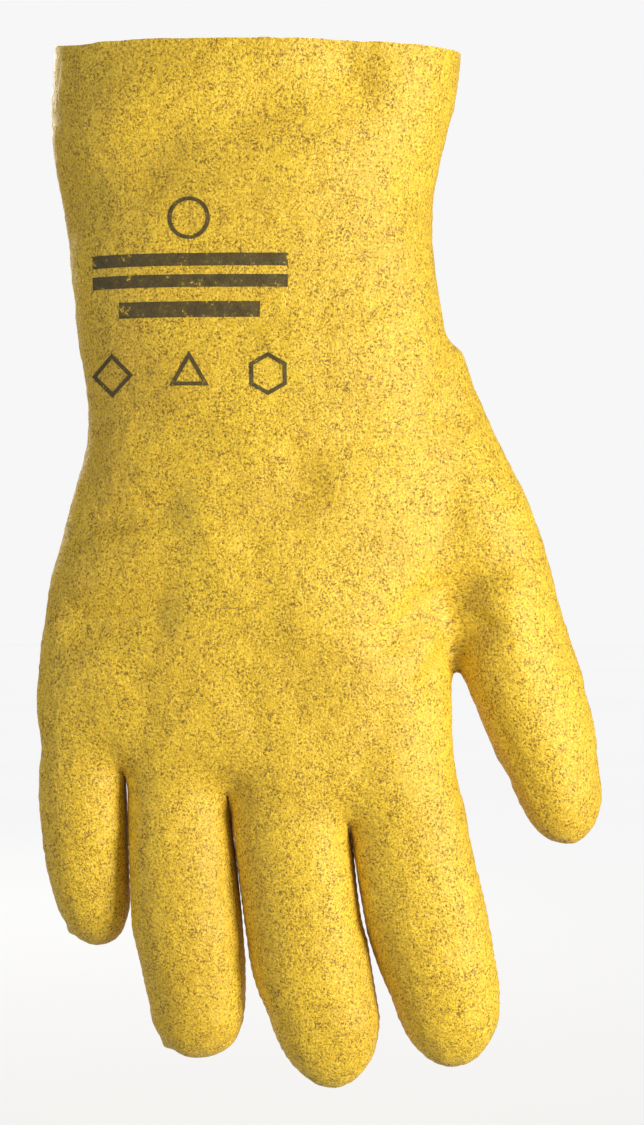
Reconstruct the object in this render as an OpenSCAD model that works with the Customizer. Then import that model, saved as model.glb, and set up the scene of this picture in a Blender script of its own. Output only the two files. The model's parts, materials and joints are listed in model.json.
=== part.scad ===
// Coated work glove for the right hand: a knitted cotton liner inside a thick dipped coating.
//
// Millimetres. The glove hangs from its open cuff with the fingers down:
//   +Z is up and out of the cuff, and the cuff's flat rim lies at z = 0, centred on the origin
//   -Y is the back of the hand, +Y the palm side, and the thumb is at +X.
// The soft shell is cut into rigid pieces at every place where a hand bends it, and a bend piece
// fills each of those cuts: its palm side is wide, because that is the side that crumples.

/* [Overall] */
// Length from the cuff rim to the tip of the middle finger
glove_len = 305; // [250:1:380]
// Thickness of the dipped coating
coating = 0.9; // [0.6:0.05:1.4]
// Thickness of the knitted liner
liner = 0.8; // [0.5:0.05:1.3]

/* [Cuff] */
// Width of the cuff at its rim
rim_w = 119; // [100:1:145]
// Depth of the cuff at its rim, from back to palm
rim_d = 64; // [50:1:80]
// Width where the cuff draws in above the wrist
waist_w = 108.5; // [95:1:130]
// Width of the wrist
wrist_w = 112; // [95:1:130]
// Depth of the wrist, from back to palm
wrist_d = 54; // [44:1:66]

/* [Palm] */
// Length from the wrist's bend to the crotches of the fingers
palm_len = 103; // [86:1:124]
// Width across the heel of the hand, without the thumb
heel_w = 115; // [100:1:130]
// Depth of the heel of the hand
heel_d = 51; // [42:1:60]
// Depth of the hand at the knuckles
knuckle_d = 41; // [34:1:50]
// Slope of the row of finger crotches
row_tilt = 12.5; // [8:0.5:16]

/* [Index finger] */
// Length from its crotch to its tip
index_len = 73; // [66:1:88]
// Width at its root
index_w = 33.4; // [29:0.2:42]
// Width at its last joint
index_tip_w = 30; // [24:0.2:34]
// Depth at its root, from back to palm
index_d = 29; // [24:0.2:34]
// Lean of the finger towards the thumb
index_lean = 12; // [9:0.5:14]

/* [Middle finger] */
// Length from its crotch to its tip
middle_len = 87; // [74:1:104]
// Width at its root
middle_w = 33.2; // [30:0.2:42]
// Width at its last joint
middle_tip_w = 31; // [25:0.2:34]
// Depth at its root, from back to palm
middle_d = 30; // [25:0.2:35]
// Lean of the finger towards the thumb
middle_lean = 10; // [7:0.5:12]

/* [Ring finger] */
// Length from its crotch to its tip
ring_len = 85; // [72:1:102]
// Width at its root
ring_w = 28.8; // [25:0.2:34]
// Width at its last joint
ring_tip_w = 27.6; // [23:0.2:31]
// Depth at its root, from back to palm
ring_d = 28; // [24:0.2:33]
// Lean of the finger towards the thumb
ring_lean = 5; // [4:0.5:8]

/* [Little finger] */
// Length from its crotch to its tip
little_len = 58; // [52:1:70]
// Width at its root
little_w = 25.6; // [23:0.2:32]
// Width at its last joint
little_tip_w = 23; // [19:0.2:26]
// Depth at its root, from back to palm
little_d = 24; // [20:0.2:29]
// Lean of the finger towards the thumb
little_lean = 5; // [3:0.5:6]

/* [Thumb] */
// Length from the thumb's crotch to its tip
thumb_len = 54; // [46:1:65]
// Width at its root
thumb_w = 33; // [28:0.2:39]
// Width at its last joint
thumb_tip_w = 25.2; // [22:0.2:29]
// Depth at its root
thumb_d = 28; // [24:0.2:33]
// Lean of the thumb away from the hand
thumb_lean = 19; // [14:0.5:22]
// Turn of the thumb's pad towards the palm
thumb_turn = 40; // [25:1:55]
// Drop of the thumb's crotch below the wrist's bend
thumb_drop = 66; // [56:1:78]

/* [Bends] */
// Clear gap between neighbouring fingers
finger_gap = 0.7; // [0.4:0.1:1.5]
// Clear gap between a bend piece and the rigid pieces beside it
bend_gap = 0.3; // [0.15:0.05:0.6]
// Half width of a bend piece at its hinge
bend_core = 1.8; // [1.4:0.1:3]
// How far the wrist bends each way
wrist_bend = 30; // [15:1:40]

/* [Printed marking] */
// Thickness of the ink
ink = 0.15; // [0.1:0.05:0.3]
// Width of the printed block
print_w = 56; // [40:1:64]

/* [Hidden] */
bond = 0.05;           // gap that keeps the bonded layers' faces apart
wall = coating + bond + liner;
seam_w = 3;            // width of the liner's overlocked seams
far = 400;             // longer than anything here
reach = 60;            // half size of the blocks that cut the digits at their bends
palm_sides = 36;
digit_sides = 16;
sleeve_steps = 18;
ring_step = 9;         // spacing of the rings along a digit
cap_angles = [0, 22, 42, 60, 76, 87];

cuff_len = glove_len - palm_len - middle_len;
row_z = -(cuff_len + palm_len);

PVC = [0.93, 0.76, 0.13];
COTTON = [0.93, 0.9, 0.82];
INK = [0.22, 0.19, 0.1];

// ---- digits as records ----

// Fields of a digit
NAME = 0; ROOT = 1; LEN = 2; WIDTH = 3; TIP_W = 4; DEPTH = 5;
LEAN = 6; TURN = 7; CURL = 8; INNER = 9; BORN = 10; BENDS = 11;
// Fields of a bend: the run of rigid coating before it on the palm side, and how far it bends each way
RUN = 0; FLEXION = 1; EXTENSION = 2;

// The fingers stand side by side along a sloping row, little finger first
widths = [little_w, ring_w, middle_w, index_w];
leans = [little_lean, ring_lean, middle_lean, index_lean];
setbacks = [3, 1, 0, 1];
row_x = -0.6;
function row_step(i) = (widths[i] + finger_gap) / cos(row_tilt + leans[i]);
function row_sum(i) = i < 0 ? 0 : row_sum(i - 1) + row_step(i);
row_len = row_sum(3);
function finger_root(i) =
    let (r = row_sum(i) - row_step(i) / 2 - row_len / 2)
    [row_x + r * cos(row_tilt), setbacks[i], row_z - r * sin(row_tilt)];
thumb_root = [row_x + row_len / 2 - 1.6 + thumb_w / 2, 6, -(cuff_len + thumb_drop)];

little = ["little", finger_root(0), little_len, little_w, little_tip_w, little_d,
          little_lean, 0, 22, -14, 0.6, [[0.9, 55, 10], [2, 60, 8], [2, 30, 6]]];
ring = ["ring", finger_root(1), ring_len, ring_w, ring_tip_w, ring_d,
        ring_lean, 0, 14, -14, 0.6, [[0.9, 60, 10], [2.5, 75, 8], [2.5, 40, 6]]];
middle = ["middle", finger_root(2), middle_len, middle_w, middle_tip_w, middle_d,
          middle_lean, 0, 12, -14, 0.6, [[0.9, 60, 10], [2.5, 75, 8], [2.5, 40, 6]]];
index = ["index", finger_root(3), index_len, index_w, index_tip_w, index_d,
         index_lean, 0, 12, -14, 0.6, [[0.9, 60, 10], [2, 65, 8], [2, 35, 6]]];
thumb = ["thumb", thumb_root, thumb_len, thumb_w, thumb_tip_w, thumb_d,
         thumb_lean, thumb_turn, 14, -98, 0.35, [[2, 35, 8], [8, 45, 6]]];
DIGITS = [little, ring, middle, index, thumb];

PARTS = ["base", "middle", "tip"];
function last_bend(d) = len(d[BENDS]) - 1;
function node_name(d, k, what) = str(d[NAME], "_", k == last_bend(d) ? "tip" : PARTS[k], "_", what);

// ---- curves ----

function mix(a, b, t) = a + (b - a) * t;
function clamp(t) = min(max(t, 0), 1);
function ease(t) = t * t * (3 - 2 * t);

// Catmull-Rom curve through a list of rows, at u from 0 to its last index
function row_at(rows, u) =
    let (last = len(rows) - 1, i = min(floor(u), last - 1), t = u - i,
         p0 = rows[max(i - 1, 0)], p1 = rows[i], p2 = rows[i + 1], p3 = rows[min(i + 2, last)])
    0.5 * (2 * p1 + (p2 - p0) * t + (2 * p0 - 5 * p1 + 4 * p2 - p3) * t * t
           + (3 * p1 - p0 - 3 * p2 + p3) * t * t * t);

// Cross-sections are ellipses that are slightly squared
squareness = 2.3;
function power(v) = sign(v) * pow(abs(v), 2 / squareness);
function section(half_w, half_d, sides) =
    [for (i = [0:sides - 1]) let (a = 360 * (i + 0.5) / sides)
        [half_w * power(cos(a)), half_d * power(sin(a))]];

// Closed form through a list of rings, which run downwards and have the same number of points each
module loft(rings) {
    n = len(rings[0]);
    last = len(rings) - 1;
    polyhedron(
        [for (ring = rings) each ring],
        concat([[for (i = [n - 1:-1:0]) i], [for (i = [0:n - 1]) last * n + i]],
               [for (r = [0:last - 1]) for (i = [0:n - 1])
                   let (j = (i + 1) % n)
                   each [[r * n + i, r * n + j, (r + 1) * n + j],
                         [r * n + i, (r + 1) * n + j, (r + 1) * n + i]]]));
}

// ---- cuff and palm ----

// Rows of [z, centre x, width, depth, tilt], from the rim down to the webs between the fingers
SLEEVE = [
    [0, 0, rim_w, rim_d, 0],
    [-0.14 * cuff_len, -0.9, rim_w - 2, rim_d - 1, 0],
    [-0.40 * cuff_len, -2.4, waist_w + 1, mix(rim_d, wrist_d, 0.4), 0],
    [-0.70 * cuff_len, 1.5, waist_w, mix(rim_d, wrist_d, 0.7), 0],
    [-0.94 * cuff_len, 6.5, wrist_w, wrist_d, 0],
    [-cuff_len - 0.19 * palm_len, 3, heel_w, heel_d, 0],
    [-cuff_len - 0.48 * palm_len, 0.2, mix(heel_w, row_len, 0.4), mix(heel_d, knuckle_d, 0.5), 3],
    [-cuff_len - 0.77 * palm_len, row_x - 1.8, row_len - 9.5, knuckle_d, 9],
    [-cuff_len - 0.92 * palm_len, row_x, row_len - 3, 0.84 * knuckle_d, row_tilt],
    [row_z + 1, row_x, row_len - 6, 0.58 * knuckle_d, row_tilt]];

function sleeve_ring(row, inset, up) =
    [for (p = section(row[2] / 2 - inset, row[3] / 2 - inset, palm_sides))
        [row[1] + p.x * cos(row[4]), p.y, row[0] + up - p.x * sin(row[4])]];

// The cuff and palm as one form, its surface drawn in by inset. An inner form runs out past the rim.
module sleeve_form(inset) {
    last = len(SLEEVE) - 1;
    rings = [for (k = [0:sleeve_steps])
        sleeve_ring(row_at(SLEEVE, last * k / sleeve_steps), inset, k == sleeve_steps ? inset : 0)];
    loft(inset == 0 ? rings : concat([sleeve_ring(SLEEVE[0], inset, 2)], rings));
}

// ---- digits ----

// A digit's centre line is straight up to its crotch and then one gentle arc towards the palm
function curl_at(d, s) = d[CURL] * max(s, 0) / d[LEN];
function arc_r(d) = d[LEN] / (d[CURL] * PI / 180);
function ahead(d, s) = s < 0 ? s : arc_r(d) * sin(curl_at(d, s));
function inward(d, s) = arc_r(d) * (1 - cos(curl_at(d, s)));

// The digit's own frame: -Z runs to the tip, +Y to the pad, and +X is the axis of its hinges
module at_root(d)
    translate(d[ROOT])
        rotate([0, -d[LEAN], 0])
            rotate([0, 0, d[TURN]])
                children();

module at_station(d, s)
    at_root(d)
        translate([0, inward(d, s), -ahead(d, s)])
            rotate([curl_at(d, s), 0, 0])
                children();

// Share of the root's size at station s: the digit swells out of the palm, then narrows to its tip
function cap_len(d) = 0.62 * d[TIP_W];
function swell(d, s) = mix(d[BORN], 1, 1 - pow(1 - clamp((s - d[INNER]) / (-0.8 * d[INNER])), 2));
function taper(d, s) = mix(1, d[TIP_W] / d[WIDTH], ease(clamp(s / (d[LEN] - cap_len(d)))));

function digit_ring(d, s, share, inset) =
    let (c = curl_at(d, s), size = swell(d, s) * taper(d, s))
    [for (p = section(share * (size * d[WIDTH] / 2 - inset), share * (size * d[DEPTH] / 2 - inset),
                      digit_sides))
        [p.x, inward(d, s) + p.y * cos(c), p.y * sin(c) - ahead(d, s)]];

// One digit as a closed form with a rounded tip, its surface drawn in by inset
module digit_form(d, inset) {
    cap = d[LEN] - cap_len(d);
    n = ceil((cap - d[INNER]) / ring_step);
    at_root(d)
        loft(concat(
            [for (k = [0:n - 1]) digit_ring(d, mix(d[INNER], cap, k / n), 1, inset)],
            [for (a = cap_angles)
                digit_ring(d, mix(cap, d[LEN] - inset, power(sin(a))), power(cos(a)), inset)]));
}

module digit_layer(d, from, to)
    difference() {
        digit_form(d, from);
        digit_form(d, to);
    }

// ---- bends ----

// How far a bend's face stands from its hinge at depth y: the face slants so that the bend can close
function face(bend, y) =
    bend_core + abs(y) * tan((y > 0 ? bend[FLEXION] : bend[EXTENSION]) / 2 + 0.5);

// Each bend follows the one before it, with a run of rigid coating between the two on the palm side
function station(d, k) =
    let (half = face(d[BENDS][k], d[DEPTH] / 2), run = d[BENDS][k][RUN])
    k == 0 ? run + half : station(d, k - 1) + face(d[BENDS][k - 1], d[DEPTH] / 2) + run + half;

// Prism across a hinge, with its outline drawn in the plane of [depth, height]
module across(outline, half_width)
    rotate([90, 0, 90])
        translate([0, 0, -half_width])
            linear_extrude(2 * half_width)
                polygon(outline);

// Everything beyond a bend (way = 1) or before it (way = -1)
module side_of(bend, way, half_width)
    across([for (y = [-reach, 0, reach]) [y, -way * face(bend, y)],
            [reach, -way * far], [-reach, -way * far]], half_width);

// The bend itself, clear of both sides
module inside_of(bend, half_width)
    across(concat([for (y = [-reach, 0, reach]) [y, face(bend, y) - bend_gap]],
                  [for (y = [reach, 0, -reach]) [y, bend_gap - face(bend, y)]]), half_width);

// The bend itself and everything beyond it
module bend_onwards(bend, half_width)
    across([for (y = [-reach, 0, reach]) [y, face(bend, y) - bend_gap],
            [reach, -far], [-reach, -far]], half_width);

module digit_side(d, k, way) at_station(d, station(d, k)) side_of(d[BENDS][k], way, reach);

module digit_bend(d, k)
    color(PVC)
        intersection() {
            digit_layer(d, 0, wall);
            at_station(d, station(d, k)) inside_of(d[BENDS][k], reach);
        }

module digit_piece(d, k, from, to)
    intersection() {
        digit_layer(d, from, to);
        digit_side(d, k, 1);
        if (k < last_bend(d)) digit_side(d, k + 1, -1);
    }

module digit_coating(d, k) color(PVC) digit_piece(d, k, 0, coating);
module digit_liner(d, k) color(COTTON) digit_piece(d, k, coating + bond, wall);

// ---- cuff and hand ----

WRIST = [0, wrist_bend, wrist_bend];

// Cuff and hand together with a short stub of each digit, between two insets, and clear of each digit
// from its first bend on
module body_layer(from, to)
    difference() {
        union() {
            sleeve_form(from);
            for (d = DIGITS)
                intersection() {
                    digit_form(d, from);
                    digit_side(d, 0, -1);
                }
        }
        sleeve_form(to);
        for (d = DIGITS) {
            digit_form(d, to);
            intersection() {
                digit_form(d, -bend_gap);
                at_station(d, station(d, 0)) bend_onwards(d[BENDS][0], reach);
            }
        }
    }

// The cuff (way = -1) or the hand (way = 1)
module body_piece(from, to, way)
    intersection() {
        body_layer(from, to);
        translate([0, 0, -cuff_len]) side_of(WRIST, way, 3 * reach);
    }

module body_coating(way) color(PVC) body_piece(0, coating, way);

module wrist_bend()
    color(PVC)
        intersection() {
            body_layer(0, wall);
            translate([0, 0, -cuff_len]) inside_of(WRIST, 3 * reach);
        }

// A panel of the liner, on the back (side = -1) or the palm (side = 1), clear of the seams
module body_liner(way, side)
    color(COTTON)
        intersection() {
            body_piece(coating + bond, wall, way);
            translate([-far / 2, side > 0 ? seam_w / 2 + bond : -far - seam_w / 2 - bond, -far])
                cube([far, far, far]);
        }

// The overlocked seams that join the two panels
module body_seams(way)
    color(COTTON)
        intersection() {
            body_piece(coating + bond, wall, way);
            translate([-far / 2, -seam_w / 2, -far]) cube([far, seam_w, far]);
        }

// ---- marking ----

sign_size = 12;
stroke = 1.1;

module sign(sides)
    difference() {
        circle(d = sign_size, $fn = sides);
        offset(-stroke) circle(d = sign_size, $fn = sides);
    }

// A generic block of plain marks: an emblem, two bars and a row of three simple signs
module marks() {
    translate([0, 24]) sign(32);
    for (y = [9, 15]) translate([-print_w / 2, y - 4.5]) square([print_w, 3.6]);
    translate([-0.36 * print_w, -4]) square([0.72 * print_w, 4.5]);
    for (k = [-1:1]) translate([k * 0.4 * print_w, -20]) sign([4, 3, 6][k + 1]);
}

module cuff_marking()
    color(INK)
        intersection() {
            difference() {
                sleeve_form(-bond - ink);
                sleeve_form(-bond);
            }
            translate([-18.5, 0, -0.65 * cuff_len]) rotate([90, 0, 0]) linear_extrude(far) marks();
        }

// ---- nodes ----

body_coating(-1);  // cuff_coating
body_liner(-1, -1);  // cuff_liner_back
body_liner(-1, 1);  // cuff_liner_palm
body_seams(-1);  // cuff_liner_seams
cuff_marking();
wrist_bend();
body_coating(1);  // hand_coating
body_liner(1, -1);  // hand_liner_back
body_liner(1, 1);  // hand_liner_palm
body_seams(1);  // hand_liner_seams
for (d = DIGITS)
    for (k = [0:last_bend(d)]) {
        digit_bend(d, k);
        digit_coating(d, k);
        digit_liner(d, k);
    }
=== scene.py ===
"""Coated work glove: the look of its soft shell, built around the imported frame.

The glove is one smooth skin, cut into pieces where no bend reaches, so that each piece crosses one joint
at most. Its shape is a distance field: lofts for the cuff and palm, the fingers and the thumb, blended
into each other, clipped where two fingers press together, and turned into quads. Sizes are in
millimetres until a mesh is made.
"""
import json
import math

import bpy
import numpy as np
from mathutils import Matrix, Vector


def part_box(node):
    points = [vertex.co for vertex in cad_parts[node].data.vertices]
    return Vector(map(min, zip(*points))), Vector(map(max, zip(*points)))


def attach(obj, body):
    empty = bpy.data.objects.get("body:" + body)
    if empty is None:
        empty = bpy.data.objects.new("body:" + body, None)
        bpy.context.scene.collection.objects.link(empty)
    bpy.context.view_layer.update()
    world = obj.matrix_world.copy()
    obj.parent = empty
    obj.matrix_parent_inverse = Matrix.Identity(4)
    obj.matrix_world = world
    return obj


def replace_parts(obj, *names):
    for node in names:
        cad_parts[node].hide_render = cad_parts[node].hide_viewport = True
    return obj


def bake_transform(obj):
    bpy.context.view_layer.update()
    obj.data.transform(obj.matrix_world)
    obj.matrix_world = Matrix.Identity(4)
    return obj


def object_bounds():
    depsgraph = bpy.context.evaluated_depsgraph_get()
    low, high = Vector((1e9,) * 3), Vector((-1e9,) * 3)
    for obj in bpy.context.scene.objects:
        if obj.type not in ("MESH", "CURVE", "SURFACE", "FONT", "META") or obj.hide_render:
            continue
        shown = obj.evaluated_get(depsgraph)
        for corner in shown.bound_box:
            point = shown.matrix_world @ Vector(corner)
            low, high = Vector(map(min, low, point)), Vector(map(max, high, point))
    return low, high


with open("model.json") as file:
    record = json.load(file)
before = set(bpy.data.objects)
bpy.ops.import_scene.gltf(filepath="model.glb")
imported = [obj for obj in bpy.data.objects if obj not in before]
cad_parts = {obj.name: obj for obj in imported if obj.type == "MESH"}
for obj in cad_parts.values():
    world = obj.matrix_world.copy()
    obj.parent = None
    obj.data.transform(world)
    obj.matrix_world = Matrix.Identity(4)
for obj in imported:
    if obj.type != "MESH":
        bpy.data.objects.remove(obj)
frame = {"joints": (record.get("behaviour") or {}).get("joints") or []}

import openvdb as vdb
from mathutils import Vector
from mathutils.bvhtree import BVHTree

CAD_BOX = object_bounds()

MM = 0.001
VOXEL = 0.8
LINER_STEP = 2  # the liner is drawn on every second voxel
BAND = 9.0  # how far from a surface its distance field is true
COATING = 0.9
LINER = 0.9
TOP = 9.0  # the lofts run on this far above the rim, where they are cut off
CROTCH_TO_BEND = 10.3  # from the row of crotches to the fingers' first hinges
SLIT = 2.0  # the slit between two fingers is whole this far below the crotches
WEB = 2.4  # a finger is a piece of its own from here, where its wall is highest
WALL_TOP = -1.5  # but the flat walls between two fingers reach up into the hand
THUMB_CUT = -3.0  # the thumb is a piece of its own from this station
CUFF_CUT = -80.0  # and the cuff's shell is one above this height
TOUCH = 0.12  # half the gap where two fingers press on each other at the crotch
SPREAD = 0.009  # and how much it grows for each millimetre down the fingers
FILLET = 8.0  # how softly a digit grows out of the palm
WEB_FILLET = 6.0
EDGE = 1.1  # a blend across a hinge stays this far inside its piece
WRIST_REACH = 25.0  # the wrist's bend spreads this far each way

# ---- small helpers ----


def vec(*values):
    return np.array(values, float)


def unit(v):
    return v / np.linalg.norm(v)


def smooth(t):
    t = np.clip(t, 0, 1)
    return t * t * (3 - 2 * t)


def smin(a, b, k):
    """The lesser of two fields, rounded over a width of k where they are close."""
    h = np.maximum(k - np.abs(a - b), 0) / k
    return np.minimum(a, b) - h * h * k / 4


def along(keys, values, x):
    """A smooth curve through values at keys, at places x."""
    keys = np.asarray(keys, float)
    values = np.asarray(values, float)
    x = np.clip(np.asarray(x, float), keys[0], keys[-1])
    i = np.clip(np.searchsorted(keys, x, side="right") - 1, 0, len(keys) - 2)
    reach = (keys[2:] - keys[:-2]).reshape((-1,) + (1,) * (values.ndim - 1))
    slopes = np.concatenate(
        [
            [(values[1] - values[0]) / (keys[1] - keys[0])],
            (values[2:] - values[:-2]) / reach,
            [(values[-1] - values[-2]) / (keys[-1] - keys[-2])],
        ]
    )
    step = keys[i + 1] - keys[i]
    t = (x - keys[i]) / step
    if values.ndim > 1:
        step, t = step[:, None], t[:, None]
    return (
        (2 * t**3 - 3 * t**2 + 1) * values[i]
        + (t**3 - 2 * t**2 + t) * step * slopes[i]
        + (3 * t**2 - 2 * t**3) * values[i + 1]
        + (t**3 - t**2) * step * slopes[i + 1]
    )


def box_mm(node):
    low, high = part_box(node)
    return np.array(low) / MM, np.array(high) / MM


# ---- what the frame says ----

HINGE = {j["name"]: (np.array(j["pos_m"]) / MM, unit(np.array(j["axis"]))) for j in frame["joints"]}
WRIST = HINGE["wrist"][0]
FINGERS = ["little", "ring", "middle", "index"]
DIGITS = FINGERS + ["thumb"]
PARTS = {d: ["base", "middle", "tip"] if d in FINGERS else ["base", "tip"] for d in DIGITS}
BASES = [HINGE[f"{name}_base_bend"][0] for name in FINGERS]
row = unit((BASES[-1] - BASES[0]) * vec(1, 0, 1))
ROW_DOWN = vec(row[2], 0, -row[0])
ROW_AT = np.mean(BASES, axis=0) - ROW_DOWN * CROTCH_TO_BEND

# ---- digits ----

# From inside the palm to the tip: the share of the way from crotch to tip, the half width and the half
# depth there, and how far the middle line stands towards the thumb from the line of the hinges.
PROFILE = {
    "little": (
        (-0.55, 6.0, 8.0, 1.0),
        (-0.2, 9.5, 10.5, 0.5),
        (0.1, 13.2, 12.6, 0),
        (0.48, 12.7, 12.0, -1.0),
        (0.75, 11.2, 10.8, -0.6),
        (1, 10.4, 9.8, 0),
    ),
    "ring": (
        (-0.4, 9.0, 9.0, 0),
        (-0.15, 12.5, 13.0, 0),
        (0.05, 14.8, 14.2, -0.2),
        (0.25, 15.6, 14.2, -0.6),
        (0.48, 16.4, 13.8, -0.9),
        (0.7, 14.8, 12.8, 0),
        (0.85, 13.8, 11.8, 0.3),
        (1, 13.4, 10.8, 0.4),
    ),
    "middle": (
        (-0.4, 9.5, 9.5, 0),
        (-0.15, 13.5, 13.8, -0.2),
        (0.05, 17.2, 15.0, -0.6),
        (0.42, 16.9, 14.4, -2.0),
        (0.56, 17.5, 14.0, -1.5),
        (0.75, 16.2, 12.8, -0.5),
        (1, 15.2, 11.6, 0.2),
    ),
    "index": (
        (-0.45, 9.5, 9.5, 0),
        (-0.15, 14.0, 13.4, -0.8),
        (0.05, 17.4, 14.6, -1.1),
        (0.25, 17.9, 14.6, -1.2),
        (0.5, 17.2, 13.8, -0.9),
        (0.75, 15.3, 12.4, 0.2),
        (1, 14.2, 11.0, 0),
    ),
    "thumb": (
        (-1.72, 6.0, 8.0, 1.5),
        (-1.1, 13.0, 13.5, -1.0),
        (-0.55, 16.4, 15.6, -2.4),
        (0, 17.2, 15.2, -2.5),
        (0.3, 16.1, 14.1, -1.8),
        (0.53, 14.6, 12.9, -1.2),
        (0.76, 12.6, 11.4, -0.5),
        (1, 11.0, 10.0, 0),
    ),
}
ROUND_FROM = {"little": 0.7, "ring": 0.83, "middle": 0.72, "index": 0.72, "thumb": 0.7}
ROOT_TO_BEND = {"little": 9.1, "ring": 10.9, "middle": 11.5, "index": 11.2, "thumb": 8.3}
CURL = {"little": 7.0, "ring": 3.0, "middle": 2.5, "index": 2.5, "thumb": 3.5}
# How far the last bend of each digit reaches
BEND_TO = {"little": 51.0, "ring": 68.0, "middle": 71.0, "index": 63.0, "thumb": 42.0}
CUT_SHARE = (0.47, 0.5)  # the cuts lie at these shares of the way between two hinges
DIGIT_SIDES = 40
DIGIT_STEP = 2.0
CAP_RINGS = 13
STATION_STEP = 0.5
CHUNK = 20000  # points whose stations are found at one time
DIGIT_SQUARENESS = 2.2
TIP_SQUARENESS = 2.1


class Digit:
    """A digit's middle line: straight from inside the palm to the crotch, then by its hinges to its tip."""

    def __init__(self, name):
        self.name = name
        self.hinges = [HINGE[f"{name}_{part}_bend"][0] for part in PARTS[name]]
        self.side = HINGE[f"{name}_base_bend"][1]
        self.pad = unit(np.cross(self.side, self.hinges[1] - self.hinges[0]))
        lean = np.cross(self.pad, self.side)
        turn = math.radians(CURL[name])
        self.start = lean * math.cos(turn) - self.pad * math.sin(turn)
        self.root = self.hinges[0] - self.start * ROOT_TO_BEND[name]
        end = unit(unit(self.hinges[-1] - self.hinges[-2]) + self.pad * math.tan(turn))
        low = box_mm(f"{name}_tip_coating")[0][2]
        self.tip = self.hinges[-1] + end * ((low - self.hinges[-1][2]) / end[2])
        self.points = np.array([self.root] + self.hinges + [self.tip])
        steps = np.linalg.norm(np.diff(self.points, axis=0), axis=1)
        self.stations = np.concatenate([[0], np.cumsum(steps)])
        self.length = self.stations[-1]
        first = self.stations[1:-1]
        self.cuts = [a + (b - a) * share for a, b, share in zip(first, first[1:], CUT_SHARE)]
        self.profile = np.array(PROFILE[name], float)
        # The upper cuts are planes across a direction between the digit's own and the row's
        self.way = unit(self.start + ROW_DOWN) if name in FINGERS else self.start
        self.upper = [self.first_cut(), (self.point(self.cuts[0]) - self.root) @ self.way]

    def first_cut(self):
        """How far along its way a digit is cut off the hand, once its walls have parted."""
        if self.name == "thumb":
            return THUMB_CUT
        half_w = self.frames(np.zeros(1))[3][0]
        reach = []
        for sign in (-1,) if self.name == "index" else (-1, 1):
            edge = self.root + self.side * sign * half_w
            short = WEB - (edge - ROW_AT) @ ROW_DOWN
            reach.append((edge - self.root) @ self.way + short / (self.way @ ROW_DOWN))
        return max(reach)

    def past(self, points, cut):
        """Which points lie beyond a cut across the digit's way."""
        return (points - self.root) @ self.way > cut

    def place(self, s):
        """Middle line at stations s, counted from the crotch."""
        s = np.atleast_1d(np.asarray(s, float))
        on = along(self.stations, self.points, s)
        return np.where(s[:, None] < 0, self.root + self.start * s[:, None], on)

    def frames(self, s):
        """Centre, side and pad directions, half width and half depth at stations s."""
        way = self.place(s + 1) - self.place(s - 1)
        way /= np.linalg.norm(way, axis=1)[:, None]
        pad = np.cross(self.side, way)
        pad /= np.linalg.norm(pad, axis=1)[:, None]
        side = np.cross(way, pad)
        u = s / self.length
        _, half_w, half_d, sway = along(self.profile[:, 0], self.profile, u).T
        end = np.clip((u - ROUND_FROM[self.name]) / (1 - ROUND_FROM[self.name]), 0, 1)
        narrow = (1 - end**TIP_SQUARENESS) ** (1 / TIP_SQUARENESS)
        return self.place(s) + side * sway[:, None], side, pad, half_w * narrow, half_d * narrow

    def rings(self):
        first = self.profile[0, 0] * self.length
        last = ROUND_FROM[self.name] * self.length
        straight = np.arange(first, last, DIGIT_STEP)
        turn = np.linspace(0, math.pi / 2, CAP_RINGS + 1)[:-1]
        s = np.concatenate([straight, last + (self.length - last) * np.sin(turn)])
        centre, side, pad, half_w, half_d = self.frames(s)
        flat = outline(half_w, half_d, half_d, DIGIT_SQUARENESS, DIGIT_SIDES)
        return centre[:, None] + flat[..., :1] * side[:, None] + flat[..., 1:] * pad[:, None]

    def coordinates(self, points):
        """Station of each point, and how far it lies to the side and towards the pad."""
        s = np.arange(-0.5 * self.length, self.length, STATION_STEP)
        centre, side, pad = self.frames(s)[:3]
        near = np.empty(len(points), int)
        for i in range(0, len(points), CHUNK):
            gap = points[i : i + CHUNK, None] - centre[None]
            near[i : i + CHUNK] = np.einsum("ijk,ijk->ij", gap, gap).argmin(1)
        off = points - centre[near]
        return s[near], np.sum(off * side[near], 1), np.sum(off * pad[near], 1)

    def point(self, s):
        return self.place(s)[0]


def outline(half_w, back, palm, squareness, sides):
    """Squared ellipses as [across, towards the palm], each with its own half width and depths."""
    a = 2 * math.pi * (np.arange(sides) + 0.5) / sides
    c, s = np.cos(a), np.sin(a)
    depth = np.where(s > 0, palm[:, None], back[:, None])
    power = 2 / squareness
    across = half_w[:, None] * np.sign(c) * np.abs(c) ** power
    return np.stack([across, depth * np.sign(s) * np.abs(s) ** power], -1)


DIGIT = {name: Digit(name) for name in DIGITS}

# ---- cuff and palm ----

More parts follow.
